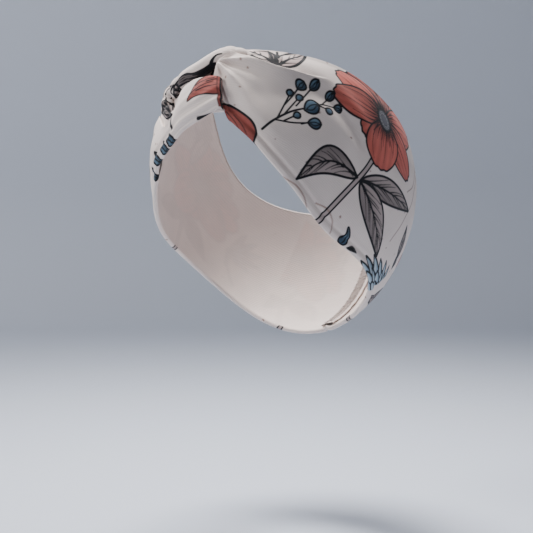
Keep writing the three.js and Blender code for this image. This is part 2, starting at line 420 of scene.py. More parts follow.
def stem(ink, points, width):
    """A pale stalk of even width with an inked outline."""
    path = curve_through(points)
    step = np.gradient(path, axis=0)
    side = np.stack([-step[:, 1], step[:, 0]], -1) / np.linalg.norm(step, axis=1)[:, None]
    outline = np.concatenate([path + side * width / 2, (path - side * width / 2)[::-1]])
    ink.region(outline, lambda p: np.tile(TAUPE_LIGHT, (len(p), 1)), 1.0)


def sprig(ink, at, degrees=0.0, scale=1.0):
    """A forked stalk of blue buds, drawn about the fork."""
    def put(points):
        return turned(points, degrees, at, scale)

    ink.stroke(put(curve_through([(-4.5, -13), (-1, -3), (4, 6), (11, 14), (16, 20)])), 1.5, 1.0)
    ink.stroke(put(curve_through([(-1.5, -4.5), (7.6, -0.3), (15, 5)])), 1.0)
    # Each bud: where its twig leaves, its middle, its direction, length and width
    buds = [
        ((-1, -3), (-2.8, 15.6), 100, 4.2, 3.8), ((-1.8, 6), (0.5, 23.4), 80, 6.6, 6.4),
        ((1, 1), (3.1, 15.9), 75, 4.4, 4.2), ((4, 10), (7.0, 29.0), 78, 8.6, 5.0),
        ((16, 20), (17.6, 29.0), 80, 7.0, 5.0), ((16, 20), (25.2, 25.6), 25, 5.4, 5.0),
        ((15, 18), (21.4, 19.2), 5, 4.8, 4.4), ((3, -2), (7.2, 5.0), 55, 4.4, 4.0),
        ((12, 2), (18.0, 7.0), 30, 8.0, 6.6), ((9, 11), (11.7, 14.6), 60, 9.6, 8.8),
    ]
    for root, middle, direction, length, width in buds:
        base = middle - length / 2 * axes_at(direction)[0]
        size = (length * scale, width * scale)
        ink.bud(put([base])[0], degrees + direction, *size, put([root])[0], length > 5)


def feather_flower(ink, base, degrees, petals, stalk):
    """A flower of narrow blue petals in a fan of three rows. petals holds (direction, length) rows."""
    ink.stroke(curve_through(stalk), 2.4, 1.4)
    cup = np.array(stalk[1], float)
    base = np.array(base, float)
    for row, reach in enumerate((1.0, 0.8, 0.58)):
        for direction, length in petals[row % 2:]:
            width = 2.2 + 0.045 * length
            turn = degrees + direction + 6 * row
            ink.bud(base, turn, reach * length, width, None, False, BLUE_LIGHT, BLUE_PALE, 1.0)
    # Scales of the cup under the petals
    for share in (0.15, 0.4, 0.65, 0.9):
        middle = base + (cup - base) * share
        ink.leaf(middle - (0, 3.0), middle + (0, 3.4), 1.6, 1.6, -1.2, 0, BLUE, BLUE_PALE, 0.7)


def twin_leaves(ink, at, degrees):
    """Two pale pointed leaves either side of a pair of bare stalks."""
    def put(*points):
        return turned(points, degrees, at)

    pale = (PINK_SHADE, CREAM * 0.92)
    ink.leaf(put((-1, 0.5))[0], put((-24.5, 7.8))[0], 4.5, 9.0, -1.5, 3, *pale, 1.9)
    ink.leaf(put((1.5, 0.5))[0], put((11.5, 23))[0], 6.5, 6.5, 0.8, 3, *pale, 1.9)
    ink.stroke(put((-1.5, 0), (-5.0, 7), (-9.6, 14)), 1.8, 1.6)
    ink.stroke(put((1.0, 0), (-1.4, 7.5), (-4.4, 15)), 1.8, 1.6)
    ink.stroke(put((-5, -1.5), (0, -0.5), (4, -1)), 1.4, 1.4)


def print_left_side(ink):
    """The wearer's left, laid out flat about the middle of that side."""
    ink.specks(60, (-80, -50), (120, 50))
    stem(ink, [(17, 10), (18, -2), (16, -17), (13.5, -34), (12, -52)], 3.0)
    ink.leaf((15, -16), (-14, -41), 8.0, 9.5, -9.5, 6)
    ink.leaf((18, -15), (70, 7), 8.0, 7.5, 1.0, 6)
    ink.leaf((18, -16), (64, -34), 9.5, 8.5, 2.0, 7)
    poppy(ink, (14.2, 29.4), 0)
    sprig(ink, (-42, -15.5))
    feather_flower(ink, (101, -42), 0, (
        (183, 47), (177, 45), (170, 41), (162, 34), (150, 29), (136, 24), (118, 20), (100, 17), (75, 14),
    ), [(101, -42), (108, -41), (111, -42)])
    # A curled blue bract and its dark tip, at the lower edge
    bract = [
        (30.2, -39.6), (33.6, -40.8), (36.4, -44.2), (35.4, -48.4), (31.6, -49.6), (29.6, -47.6),
        (32.4, -44.2),
    ]

    def bract_fill(points):
        return BLUE + (BLUE_LIGHT - BLUE) * smooth(points[:, 1], -49, -40)[:, None]

    ink.region(curve_through(bract, 5, True), bract_fill, 1.1)
    ink.stroke(curve_through([(31.6, -41), (34.2, -43.8), (33.4, -48.2)]), 0.7, 0.9)
    ink.leaf((38.6, -47.6), (47, -44.6), 1.2, 1.4, 0.8, 0, INK, INK, 0.6)
    ink.leaf((90, -15), (78, 2), 4.0, 4.6, 0.6, 4)
    ink.leaf((94, -22), (87, -13), 2.4, 2.8, 0.4, 2, INK, TAUPE)
    # Fine brown grasses, and the stalk end beside the sprig
    for path in ([(-21, -45), (-12, -44), (-4, -46), (2, -50)], [(4, -44), (12, -42), (20, -45), (23, -50)],
                 [(58, 38), (64, 24), (58, 12)], [(66, 34), (70, 16), (68.5, -5), (66.5, -20)],
                 [(95, -11), (99, -19), (101, -26)]):
        ink.stroke(curve_through(path), 0.9, 0.7, BROWN)
    ink.stroke(curve_through([(-47, -38), (-42, -40.2), (-37, -42)]), 1.4, 1.0)


def print_knot_end_of_left(ink):
    """The petal that the lower leg carries out of the knot, coloured dark with painted shade."""
    outline = curve_through([
        (-84, -27), (-77, -24.8), (-71, -23.6), (-62, -25), (-53.5, -27.5), (-48.5, -32),
        (-46.5, -39), (-47, -48), (-66, -60), (-86, -46),
    ], 5, True)

    def fill(points):
        # Painted shade: the petal is kept dark, darkest at its lower end, where it goes in under the strip
        lit = smooth(points[:, 1], -46, -24)[:, None]
        return TERRACOTTA_DARK + (TERRACOTTA - TERRACOTTA_DARK) * (0.1 + 0.3 * lit)

    ink.region(outline, fill, 1.3)
    for shift in (0, 5, 10):
        ink.stroke(curve_through([(-76 + shift, -28), (-66 + shift, -33), (-56 + shift, -42)]), 0.4, 0.3)


def print_back(ink):
    """The back of either half, laid out flat about its middle."""
    ink.specks(40, (-50, -55), (60, 55))
    stem(ink, [(8, -6), (14, -22), (12, -38), (4, -56)], 2.8)
    ink.leaf((13, -24), (38, -40), 8, 7, 1.5, 8)
    ink.leaf((13, -22), (-14, -38), 7, 8, -3, 8)
    poppy(ink, (18, 15), 35)
    sprig(ink, (-14, 20), 20, 0.8)
    feather_flower(ink, (-30, -22), 60, ((150, 18), (120, 21), (95, 22), (70, 21), (40, 18)),
                   [(-30, -22), (-34, -32), (-44, -42)])


def print_right_side(ink):
    """The wearer's right, laid out flat about the middle of that side."""
    ink.specks(60, (-100, -50), (70, 50))
    stem(ink, [(-18, 8), (-14, -8), (-18, -26), (-14, -52)], 2.8)
    ink.leaf((-16, -14), (14, -30), 8, 8, 2, 8)
    ink.leaf((-16, -12), (-46, -30), 8, 8, -3, 8)
    poppy(ink, (-20, 14), 12)
    sprig(ink, (32, -2), 10)
    feather_flower(ink, (-62, -6), 70, ((140, 20), (115, 23), (90, 24), (65, 22), (40, 18)),
                   [(-62, -6), (-64, -20), (-70, -34)])
    twin_leaves(ink, (2, 42), -160)
    sprig(ink, (58, 20), -60, 0.9)
    stem(ink, [(44, -12), (52, -24), (60, -36), (66, -46)], 2.4)
    ink.leaf((52, -24), (34, -36), 6, 6, 1.5, 5)
    ink.leaf((51, -23), (76, -22), 6, 6, -1.5, 5)


# ---------------------------------------------------------------- meshes

def mesh_from_grids(name, grids, closed_across=False):
    """One mesh of quads from grids of points with their cloth places, colours and ink.

    Grids that share points along an edge are welded there.
    """
    def joined(key, width):
        return np.concatenate([np.asarray(grid[key], float).reshape(-1, width) for grid in grids])

    points = joined("points", 3)
    faces, first = [], 0
    for grid in grids:
        rows, columns = grid["points"].shape[:2]
        index = first + np.arange(rows * columns).reshape(rows, columns)
        if closed_across:
            index = np.concatenate([index, index[:, :1]], axis=1)
        quads = np.stack([index[:-1, :-1], index[1:, :-1], index[1:, 1:], index[:-1, 1:]], -1)
        quads = quads.reshape(-1, 4)
        faces.append(quads[:, ::-1] if grid.get("flip") else quads)
        first += rows * columns
    faces = np.concatenate(faces)
    _, keep, weld = np.unique(np.round(points, 4), axis=0, return_index=True, return_inverse=True)
    faces = weld.reshape(-1)[faces]
    mesh = bpy.data.meshes.new(name)
    mesh.vertices.add(len(keep))
    mesh.vertices.foreach_set("co", (points[keep] * MM).ravel())
    mesh.loops.add(faces.size)
    mesh.loops.foreach_set("vertex_index", faces.ravel())
    mesh.polygons.add(len(faces))
    mesh.polygons.foreach_set("loop_start", np.arange(0, faces.size, 4))
    mesh.polygons.foreach_set("use_smooth", np.ones(len(faces), bool))

    def store(name, kind, slot, values):
        attribute = mesh.attributes.new(name, kind, "POINT")
        attribute.data.foreach_set(slot, values.ravel())

    one = np.ones((len(keep), 1))
    store("cloth", "FLOAT_VECTOR", "vector", np.hstack([joined("cloth", 2)[keep], 0 * one]))
    # The colour holds the print and, on the knot, painted shade
    store("print_and_painted_shade", "FLOAT_COLOR", "color", np.hstack([joined("color", 3)[keep], one]))
    store("ink", "FLOAT", "value", joined("ink", 1)[keep])
    mesh.update(calc_edges=True)
    mesh.validate()
    piece = bpy.data.objects.new(name, mesh)
    bpy.context.scene.collection.objects.link(piece)
    return piece


def plain_grid(points, cloth, color, **options):
    """A grid of one colour, or of one for each vertex, with no ink on it."""
    color = np.broadcast_to(color, (len(cloth), 3))
    return dict(points=points, cloth=cloth, color=color, ink=np.full(len(cloth), NO_INK), **options)


def across_band(along, low, high, rows, low_radius=EDGE_RADIUS, high_radius=UPPER_EDGE_RADIUS):
    """Up places, drops below the cloth's face, and printed up places for each row at each along.

    A radius rolls that edge under, and None leaves it flat.
    """
    rolled_under = math.radians(172)
    turn = np.linspace(0, rolled_under, ROLL_ROWS + 1)[1:][None, :]
    low_roll = 0 if low_radius is None else low_radius
    high_roll = 0 if high_radius is None else high_radius
    bottom = (low + low_roll)[:, None]
    top = (high - high_roll)[:, None]
    up = bottom + (top - bottom) * np.linspace(0, 1, rows)
    drop = np.zeros_like(up)
    printed = up.copy()
    if low_radius is not None:
        roll = np.broadcast_to(low_roll, along.shape)[:, None]
        up = np.concatenate([(bottom - roll * np.sin(turn))[:, ::-1], up], 1)
        drop = np.concatenate([(roll * (1 - np.cos(turn)))[:, ::-1], drop], 1)
        printed = np.concatenate([(bottom - roll * turn)[:, ::-1], printed], 1)
    if high_radius is not None:
        roll = np.broadcast_to(high_roll, along.shape)[:, None]
        up = np.concatenate([up, top + roll * np.sin(turn)], 1)
        drop = np.concatenate([drop, roll * (1 - np.cos(turn))], 1)
        printed = np.concatenate([printed, top + roll * turn], 1)
    return up, drop, printed


def wrinkles(along, up, seed):
    """Gentle unevenness of cloth stretched over a head: a few shallow waves, mostly along the band."""
    waves, height = 9, 0.07
    random = np.random.default_rng(seed)
    total = np.zeros(np.broadcast(along, up).shape)
    for _ in range(waves):
        length = random.uniform(18, 55)
        turn = random.uniform(-0.5, 0.5)
        run = up * math.cos(turn) + along * math.sin(turn)
        total = total + np.sin(2 * np.pi / length * run + random.uniform(0, 6.28))
    return height * total


def edge_shape(from_edge, seam):
    """The groove and soft ridge beside a rolled edge, stronger along the sewn one."""
    if seam:
        ridge, groove = 0.8 * bump(from_edge, 2.6, 1.8), 0.75 * bump(from_edge, 5.8, 1.2)
        return ridge - groove + 0.2 * bump(from_edge, 8.4, 1.8)
    return -0.6 * (1 - smooth(from_edge, 0, 10)) - 0.15 * bump(from_edge, 3.2, 1.2)


def back_seam_shape(from_seam, up):
    """The groove of the join at the back, and the small puckers that its stitches draw."""
    groove = -1.25 * bump(from_seam, 0, 1.3)
    pucker = 0.22 * np.sin(up * 1.05) * bump(from_seam, 5, 6)
    return groove + pucker


# ---------------------------------------------------------------- the left half

LEFT_START = 13.0                        # where its outer face starts, out of sight under the strip
OVERLAP_END = 74                         # where the front layer's fold has died away
BAND_WIDTH = 95                          # sets how many rows of vertices lie across the band


def overlap_line(along):
    """Where the front layer's fold ends, with the layer behind it showing above."""
    return 10.2 + 0.0085 * (along - 44) ** 2 + 2.2 * smooth(along, 52, 70)


def raised_at_knot(along):
    """The left half's lower edge rises to pass behind the strip."""
    return 12 * (1 - smooth(along, 24, 36))


def folds_from_pinch(along, up):
    """Pleats that fan out of the pinch: (direction in degrees, height, spread in degrees)."""
    x, y = along - PINCH[0], up - PINCH[1]
    distance = np.hypot(x, y)
    direction = np.degrees(np.arctan2(y, x))
    fade = np.exp(-distance / 30) * smooth(distance, 0, 7)
    total = np.zeros_like(distance)
    for angle, height, spread in (
        (12, 2.0, 6), (-3, -2.2, 7), (-17, 1.0, 6), (-34, 3.0, 7), (-51, -1.5, 7),
        (-66, 0.8, 7), (34, -1.2, 9), (55, 1.2, 9),
    ):
        total = total + height * bump(direction, angle, spread)
    return total * fade


def left_lift(along, up, low, high):
    """How far the left half's outer face stands off the head."""
    from_low, from_high = up - low, high - up
    # The gathered cloth stands up towards the knot, most of all at the nub where it is pinched
    body = smooth(from_low, -1, 17) * smooth(from_high, 0, 13)
    rise = 5.6 * np.exp(-(np.maximum(along - 24, 0) / 30) ** 1.6) * body
    nub = 3.4 * bump(along, 22, 5) * bump(up, 5.5, 5)
    # The front layer's fold stands over the layer behind it, with a hollow below the fold
    crest = overlap_line(along)
    step = 4.2 * (1 - smooth(along, 52, 82)) * smooth(along, 20, 30)
    under = np.maximum(crest - up, 0)
    front_layer = step * np.exp(-(under / 8.5) ** 1.3) * smooth(crest - up, -0.9, 0.5)
    hollow = 0.9 * bump(under, 15, 6) * smooth(along, 40, 52) * (1 - smooth(along, 70, 90))
    # Further on the fold flattens into a valley with soft banks, and that fades over the ear
    valley_up = 12.7 - 0.0088 * np.maximum(along - 74, 0) ** 1.85
    banks = 1.1 * bump(up, valley_up + 10, 6) + 0.9 * bump(up, valley_up - 10, 6)
    valley = (banks - 1.9 * bump(up, valley_up, 5.5)) * smooth(along, 56, 80) * (1 - smooth(along, 100, 140))
    beside_fold = 1.7 * bump(along, 29, 5) * smooth(up, -24, -14) * (1 - smooth(up, -4, 3))
    lift = TUBE_THICKNESS + rise + nub + front_layer - hollow + valley + beside_fold
    lift = lift + folds_from_pinch(along, up) * smooth(from_low, 0, 8) * smooth(from_high, 0, 6)
    lift = lift + edge_shape(from_low, True) + edge_shape(from_high, False)
    lift = lift + wrinkles(along, up, 3) * smooth(from_low, 0, 10) * smooth(from_high, 0, 10)
    # The cloth dives into the knot beside the pinch
    dive = (1 - smooth(along, 15.0, 21.5)) * smooth(up, -30, -20) * (1 - smooth(up, 9, 13))
    lift = lift - 0.72 * (lift - 1.5) * dive
    return lift + back_seam_shape(HALF_RING - along, up)


def left_outer():
    """The printed face of the left half, from under the knot's strip to the back seam."""
    along = np.arange(LEFT_START, HALF_RING + MESH_STEP / 2, MESH_STEP)
    along[-1] = HALF_RING - SEAM_GAP
    low, high = edges_up(along)
    low = low + raised_at_knot(along)
    rows = int(BAND_WIDTH / MESH_STEP)
    up, drop, printed = across_band(along, low, high, rows)
    column = along[:, None] + 0 * up
    inner_up = np.clip(up, (low + EDGE_RADIUS)[:, None], (high - EDGE_RADIUS)[:, None])
    lift = left_lift(column, inner_up, low[:, None], high[:, None]) - drop
    points = place(column, up, lift)
    flat_points = place(column, printed, 0.0)
    cloth = flat_cloth(flat_points, SIDE_ALONG)
    front = Print(cloth, 5)
    # The pair of leaves is on the layer behind, so the front layer covers their lower ends
    twin_leaves(front, (-59, 12.8), 0)
    in_front = (printed <= overlap_line(column)).ravel() & (column < OVERLAP_END).ravel()
    front.ink[in_front] = NO_INK
    front.color[in_front] = CREAM
    print_left_side(front)
    print_knot_end_of_left(front)
    back = Print(flat_cloth(flat_points, BACK_ALONG), 6)
    print_back(back)
    front.take(back, (column > BACK_FROM).ravel())
    # The roll's dark leaf and painted shade go on over the cloth that dives into the knot, colouring it near
    # black
    crease = (1 - smooth(column, 17.0, 19.0)) * smooth(up, -14, -10) * (1 - smooth(up, 7, 10))
    color = front.color + (INK - front.color) * crease.ravel()[:, None]
    grid = dict(points=points, cloth=cloth, color=color, ink=front.ink)
    return mesh_from_grids("left_outer_jersey", [grid])


# ---------------------------------------------------------------- the right half

SPLIT_ALONG = -44.0                      # where the half divides into its two legs
FOLD_ALONG = 24.2                        # where the strip turns under, at its upper corner
FOLD_UP = -3.8
FOLD_RADIUS = 2.2
FOLD_SLANT = 0.44                        # how far the fold leans over for each step down, at its top
FOLD_CURVE = 0.0055
CORNER_UP = -21.0                        # its lower corner, further along because the fold slants
FOLD_INSIDE = 12                         # how far the cloth runs back inside the knot after the fold
LEG_END = 14.0                           # where the upper leg ends, out of sight under the roll
LEG_WIDTH = 48                           # sets how many rows of vertices lie across each leg
KNOT_PRINT_FROM = -46                    # where the knot's print takes over from the side's
STRIP_EDGE_RADIUS = 1.3
STRIP_EASE = 12                          # how far the legs take to leave the panel's shape
TUCK = (-6.0, -17.0)                     # where the roll goes under the strip

# The strip over the knot: along, its lower edge, lift there, its upper edge and lift there
STRIP = np.array([
    (-44, -47.2, 2.8, 0.0, 7.0),
    (-38, -43.8, 2.8, -4.0, 6.4),
    (-32, -41.6, 2.8, -10.5, 5.4),
    (-26, -40.3, 2.8, -17.5, 4.8),
    (-21, -39.2, 2.8, -21.0, 4.8),
    (-15, -38.0, 2.9, -21.6, 5.2),
    (-8.5, -36.2, 3.1, -20.6, 6.2),
    (-4, -34.6, 3.2, -16.6, 8.2),
    (-1, -33.4, 3.3, -11.0, 9.8),
    (2, -32.2, 3.4, -7.4, 11.0),
    (9, -29.8, 3.8, -4.9, 11.8),
    (16, -27.6, 4.4, -4.0, 12.0),
    (24.2, -23.9, 5.6, -3.8, 12.0),
    (30, -21.2, 6.6, -3.8, 12.0),
    (36, -18.6, 7.4, -3.8, 12.0),
])


def strip_value(along, kind):
    """The strip's measure at an along place, eased between the rows of the table."""
    spread = np.linspace(-1.5, 1.5, 5)
    return sum(np.interp(np.asarray(along) + step, STRIP[:, 0], STRIP[:, kind]) for step in spread) / 5


def lean(up, along):
    """The fold slants, so the strip is longer along its lower edge."""
    below = np.maximum(FOLD_UP - up, 0)
    return (FOLD_SLANT * below - FOLD_CURVE * below ** 2) * smooth(along, -12, FOLD_ALONG)


def strip_lift(along, up, low, top, along_low):
    """The strip stands high over the other tube and comes down to the head at its lower edge."""
    from_low = up - low
    lift_low, lift_top = strip_value(along_low, 2), strip_value(along, 4)
    share = np.clip((from_low + 1) / np.minimum(15.0, top - low), 0, 1)
    lift = lift_low + (lift_top - lift_low) * (1 - (1 - share) ** 2.2)
    crown = 0.5 * np.sin(np.pi * np.clip(from_low / (top - low), 0, 1))
    # Two shallow creases run along it to the fold, and a ridge and a groove mark its hem
    crease = 0.45 * bump(up, low + 9 + 0.2 * along, 2.6) * smooth(along, -22, 4)
    crease = crease + 0.3 * bump(up, low + 14 + 0.35 * along, 2.2) * smooth(along, -10, 12)
    hem = 0.9 * bump(from_low, 4.2, 2.1) - 0.9 * bump(from_low, 7.6, 1.3)
    return lift + crown - crease + hem + edge_shape(from_low, True)


def right_lift(along, up, low, high):
    """The panel at the wearer's right: pleats fan out from the tuck and die away round the head."""
    from_low, from_high = up - low, high - up
    x, y = along - TUCK[0], up - TUCK[1]
    distance, direction = np.hypot(x, y), np.degrees(np.arctan2(y, -x))
    pleats = sum(
        height * bump(direction, angle, spread)
        for angle, height, spread in (   # degrees round the tuck
            (-34, -0.8, 6), (-20, 1.3, 7), (-5, -1.1, 6), (9, 1.7, 6), (22, -1.4, 6),
            (36, 1.8, 7), (50, -1.5, 6), (63, 1.6, 6), (76, -1.2, 6), (89, 1.0, 6),
        )
    )
    folds = pleats * np.exp(-distance / 34) * smooth(distance, 8, 22)
    body = smooth(from_low, 0, 17) * smooth(from_high, 0, 13)
    rise = 4.6 * np.exp(-(np.maximum(-along - 26, 0) / 30) ** 1.6) * body
    lift = TUBE_THICKNESS + rise + folds * smooth(from_low, 0, 8) * smooth(from_high, 0, 8)
    lift = lift + edge_shape(from_low, True) + edge_shape(from_high, False)
    lift = lift + wrinkles(along, up, 8) * smooth(from_low, 0, 10) * smooth(from_high, 0, 10)
    return lift + back_seam_shape(HALF_RING + along, up)


def strip_print(ink):
    """The strip's print, in the flat cloth of the knot: along the ring and up from its middle."""
    ink.specks(6, (-40, -36), (16, -20))

    def petal_fill(points):
        grain = 0.5 + 0.5 * np.sin(points[:, 1] * 2.6 + points[:, 0] * 0.35)
        lit = (0.04 + 0.2 * smooth(points[:, 0], 6, 24) + 0.25 * grain)[:, None]
        return TERRACOTTA_DARK + (TERRACOTTA - TERRACOTTA_DARK) * lit

    petal = curve_through([
        (10.0, -18.2), (11.4, -13.6), (12.6, -9.6), (14.4, -6.6), (17.4, -4.4), (24, -1), (36, -2),
        (35, -9), (30.5, -13.9), (22, -15.0), (15, -16.2),
    ], 5, True)
    ink.region(petal, petal_fill, 0.7)
    for start, middle, stop in (
        ((11, -14.5), (17, -10.5), (24, -7.6)), ((13, -9.4), (18, -7.2), (24, -5.6)),
        ((15, -13.0), (21, -10.8), (27, -9.8)), ((20, -7.8), (25, -6.4), (30, -5.6)),
    ):
        ink.stroke(curve_through([start, middle, stop]), 0.75, 0.35)
    # The next petal shows on the side of the fold
    edge = [np.array([FOLD_ALONG + lean(up, FOLD_ALONG) + 0.5, up]) for up in (-1, -6, -12, -17, -20.5)]
    inside = [point + (6, 0) for point in edge[::-1]]
    ink.region(np.array(edge + inside), petal_fill, 0)
    ink.stroke(np.array(edge), 0.7, 0.5)
    ink.stroke(np.array([point + (2.4, 0) for point in edge]), 1.2, 1.8)
    ink.stroke(curve_through([(17.6, -26.9), (21.8, -25.9), (27.0, -24.2)]), 2.4, 0.4)
    ink.stroke(curve_through([(-8.4, -15), (-8.2, -21.5), (-6.8, -26.2), (-5.9, -29.6)]), 2.8, 2.2)
    for base, tip in (((-5, -38.5), (-11, -30)), ((-15, -41), (-19.5, -31.5)), ((-27, -43.5), (-33, -33)),
                      ((-41, -48), (-45, -38))):
        ink.leaf(base, tip, 4.0, 3.8, 0.8, 2, BLUE * 0.8, BLUE_LIGHT * 0.7, 1.5)
    # Dark leaves lie in the crease above the strip, in a broad dark line that is partly painted shade under
    # the roll
    ink.stroke(curve_through([(-6, -17), (0, -6.0), (6, -3.2), (14, -1.6), (24, -1.2)]), 2.4, 2.8)


def leg_lift(along, up, bottom, high):
    """The upper leg lies low in gathers, under the roll that crosses it."""
    from_high, share = high - up, (up - bottom) / np.maximum(high - bottom, 1)
    pleats = 0.9 * np.cos(share * 19) * smooth(along, -44, -20) * smooth(from_high, 0, 5)
    tucked = 1.9 * (1 - smooth(up - bottom, 3, 10)) * smooth(along, -43, -35)
    return TUBE_THICKNESS + 1.6 * smooth(from_high, 0, 9) + pleats - tucked + edge_shape(from_high, False)


def right_outer():
    """The printed face of the right half: its panel, the flat strip over the knot and the leg behind."""
    rows = int(LEG_WIDTH / MESH_STEP)
    grids = []

    def add(along, across, lower, upper, lift_of, slant=False):
        """A grid over the along places, raised by lift_of. slant leans it over to the fold."""
        up, drop, printed = across
        column = along[:, None] + 0 * up
        inner = np.clip(up, (lower + EDGE_RADIUS)[:, None], (upper - EDGE_RADIUS)[:, None])
        lift = lift_of(column, inner) - drop
        if slant:
            column = column + lean(up, column)
        grids.append(dict(points=place(column, up, lift), flat=place(column, printed, 0.0),
                          along=column, up=printed))

    def panel_of(column, inner):
        low, high = edges_up(column)
        return right_lift(column, inner, low, high)

    # The panel, in two grids that share the line where the legs divide
    along = np.append(np.arange(-HALF_RING + SEAM_GAP, SPLIT_ALONG, MESH_STEP), SPLIT_ALONG)
    low, high = edges_up(along)
    add(along, across_band(along, low, 0 * low, rows, EDGE_RADIUS, None), low, high, panel_of)
    add(along, across_band(along, 0 * low, high, rows, None), low, high, panel_of)

    # The strip: it blends from the panel's shape into its own, then leans over to the slanted fold
    along = np.append(np.arange(SPLIT_ALONG, FOLD_ALONG, MESH_STEP), FOLD_ALONG)
    ease = smooth(along, SPLIT_ALONG, SPLIT_ALONG + STRIP_EASE)
    reach = along + lean(CORNER_UP, along)
    low = edges_up(along)[0] * (1 - ease) + strip_value(reach, 1) * ease
    top = strip_value(along, 3) * smooth(along, SPLIT_ALONG, SPLIT_ALONG + 3)
    radius = STRIP_EDGE_RADIUS * smooth(along, SPLIT_ALONG + 4, SPLIT_ALONG + 18)
    across = across_band(along, low, top, rows, EDGE_RADIUS, radius)

    def strip_of(column, inner):
        own = strip_lift(column, inner, low[:, None], top[:, None], reach[:, None])
        panel = panel_of(column, inner)
        return panel * (1 - ease[:, None]) + own * ease[:, None]

    add(along, across, low, top, strip_of, True)

    # The fold: the strip's end turns under and runs back inside the knot
    up, drop, printed = (value[-1:] for value in across)
    turn = np.linspace(0, math.pi, 10)[1:, None]
    back = np.arange(1, FOLD_INSIDE + 1)[:, None] * 1.0
    run = np.concatenate([FOLD_RADIUS * np.sin(turn), -back])
    sink = 0.15
    dip = np.concatenate([FOLD_RADIUS * (1 - np.cos(turn)), 2 * FOLD_RADIUS + sink * back])
    rolled = np.concatenate([FOLD_RADIUS * turn, FOLD_RADIUS * math.pi + back])
    inner = np.clip(up, low[-1] + EDGE_RADIUS, top[-1] - EDGE_RADIUS)
    end = np.full((1, 1), FOLD_ALONG)
    end_lift = strip_lift(end, inner, low[-1:, None], top[-1:, None], reach[-1:, None]) - drop
    slanted = FOLD_ALONG + lean(up, FOLD_ALONG)
    start = np.zeros((1, 1))
    fold_lift = np.concatenate([end_lift, np.maximum(end_lift - dip, 0.6)])
    fold_run = slanted + np.concatenate([start, run])
    cloth_run = slanted + np.concatenate([start, rolled])
    cloth_up = printed + 0 * cloth_run
    grids.append(dict(points=place(fold_run, up + 0 * fold_run, fold_lift),
                      flat=place(cloth_run, cloth_up, 0.0), along=cloth_run, up=cloth_up))

    # The upper leg, under the roll
    along = np.append(np.arange(SPLIT_ALONG, LEG_END, MESH_STEP), LEG_END)
    low, high = edges_up(along)
    strip_top = strip_value(along, 3) * smooth(along, SPLIT_ALONG, SPLIT_ALONG + 3)
    bottom = np.minimum(strip_top, 0) - 3.5 * smooth(along, -43, -35)
    ease = smooth(along, SPLIT_ALONG, SPLIT_ALONG + STRIP_EASE)[:, None]

    def leg_of(column, inner):
        own = leg_lift(column, inner, bottom[:, None], high[:, None])
        return panel_of(column, inner) * (1 - ease) + own * ease

    add(along, across_band(along, bottom, high, rows, None), low, high, leg_of)

    for grid in grids:
        side = Print(flat_cloth(grid["flat"], -SIDE_ALONG), 15)
        print_right_side(side)
        behind = Print(flat_cloth(grid["flat"], -BACK_ALONG), 16)
        print_back(behind)
        knot = Print(np.stack([grid["along"], grid["up"]], -1), 17)
        strip_print(knot)
        side.take(knot, (grid["along"] > KNOT_PRINT_FROM).ravel())
        side.take(behind, (grid["along"] < -BACK_FROM).ravel())
        grid.update(cloth=side.cloth, color=side.color, ink=side.ink)
    return mesh_from_grids("right_outer_jersey", grids)


# ---------------------------------------------------------------- the roll over the knot

# The left tube's bend: along, up and lift of its middle, and its radius
ROLL_PATH = (
    (44, 15.5, 0.3, 2.2), (35, 16, 2.6, 3.2), (29.5, 15.6, 5.4, 3.6), (24.2, 13.5, 8.2, 4.2),
    (19.5, 10.5, 9.2, 4.4), (15.6, 7.0, 9.6, 4.4), (9.4, 2.9, 9.4, 4.5), (0.8, 1.5, 8.2, 4.8),
    (-8.6, -0.8, 6.8, 5.2), (-17.5, -3.0, 5.6, 5.6), (-17.2, -11.0, 4.7, 5.2), (-10.5, -17.5, 4.0, 4.2),
    (-1.0, -20.5, 3.4, 3.4),
)


def frames_along(path):
    """The directions across a path: level with the cloth, and out from it."""
    tangent = np.gradient(path, axis=0)
    tangent /= np.linalg.norm(tangent, axis=1)[:, None]
    side = np.cross(np.array([0.0, 0.0, 1.0]), tangent)
    side /= np.linalg.norm(side, axis=1)[:, None]
    return side[:, None], np.cross(tangent, side)[:, None]


def gathers(turns):
    """Rounded ridges with sharp valleys between, one for each turn."""
    mean = 0.64
    return np.abs(np.sin(np.pi * turns)) - mean


def knot_roll():
    """The upper leg of the left tube: gathered into a roll, over the knot and back under the strip."""
    path = curve_through(ROLL_PATH, 18)
    centre = path[:, :3]
    side, out = frames_along(centre)
    # The strip's two long edges nearly meet underneath, and turn in
    around, half_gap = 120, 0.25
    across = np.linspace(0, 1, around)[None, :]
    turn = 2 * (np.pi - half_gap) * across - np.pi / 2 + half_gap
    tucked = 1 - 0.45 * np.exp(-(np.minimum(across, 1 - across) / 0.03) ** 2)
    length = np.concatenate([[0], np.cumsum(np.linalg.norm(np.diff(centre, axis=0), axis=1))])
    run = length[:, None]
    # Long pleats, then gathers across and along the bend, and a few small ones beside the pinch
    bend = smooth(run, 46, 60)
    pleats = (
        0.09 * gathers(turn / 2.6 + run / 60) * smooth(run, 8, 24) * (1 - 0.5 * bend)
        + 0.20 * gathers(run / 8.3 + 0.35 * np.sin(turn) + 0.15) * bend
        + 0.13 * gathers(turn / 1.35 + run / 17) * bend
        + 0.13 * gathers(run / 6.4 + 0.1 * np.cos(2 * turn)) * smooth(run, 10, 14) * (1 - smooth(run, 22, 27))
    )
    radius = path[:, 3:4] * (1 + pleats) * tucked
    width, height = radius * np.cos(turn), radius * np.sin(turn)
    local = centre[:, None] + width[..., None] * side + height[..., None] * out
    clear_of_head = 0.4
    points = place(local[..., 0], local[..., 1], np.maximum(local[..., 2], clear_of_head))
    cloth = np.stack([run + 0 * turn, turn * 5.0 + 0 * run], -1)
    ink = Print(cloth, 9)
    roll_print(ink)
    grid = dict(points=points, cloth=cloth, color=ink.color, ink=ink.ink)
    return mesh_from_grids("left_knot_roll", [grid])


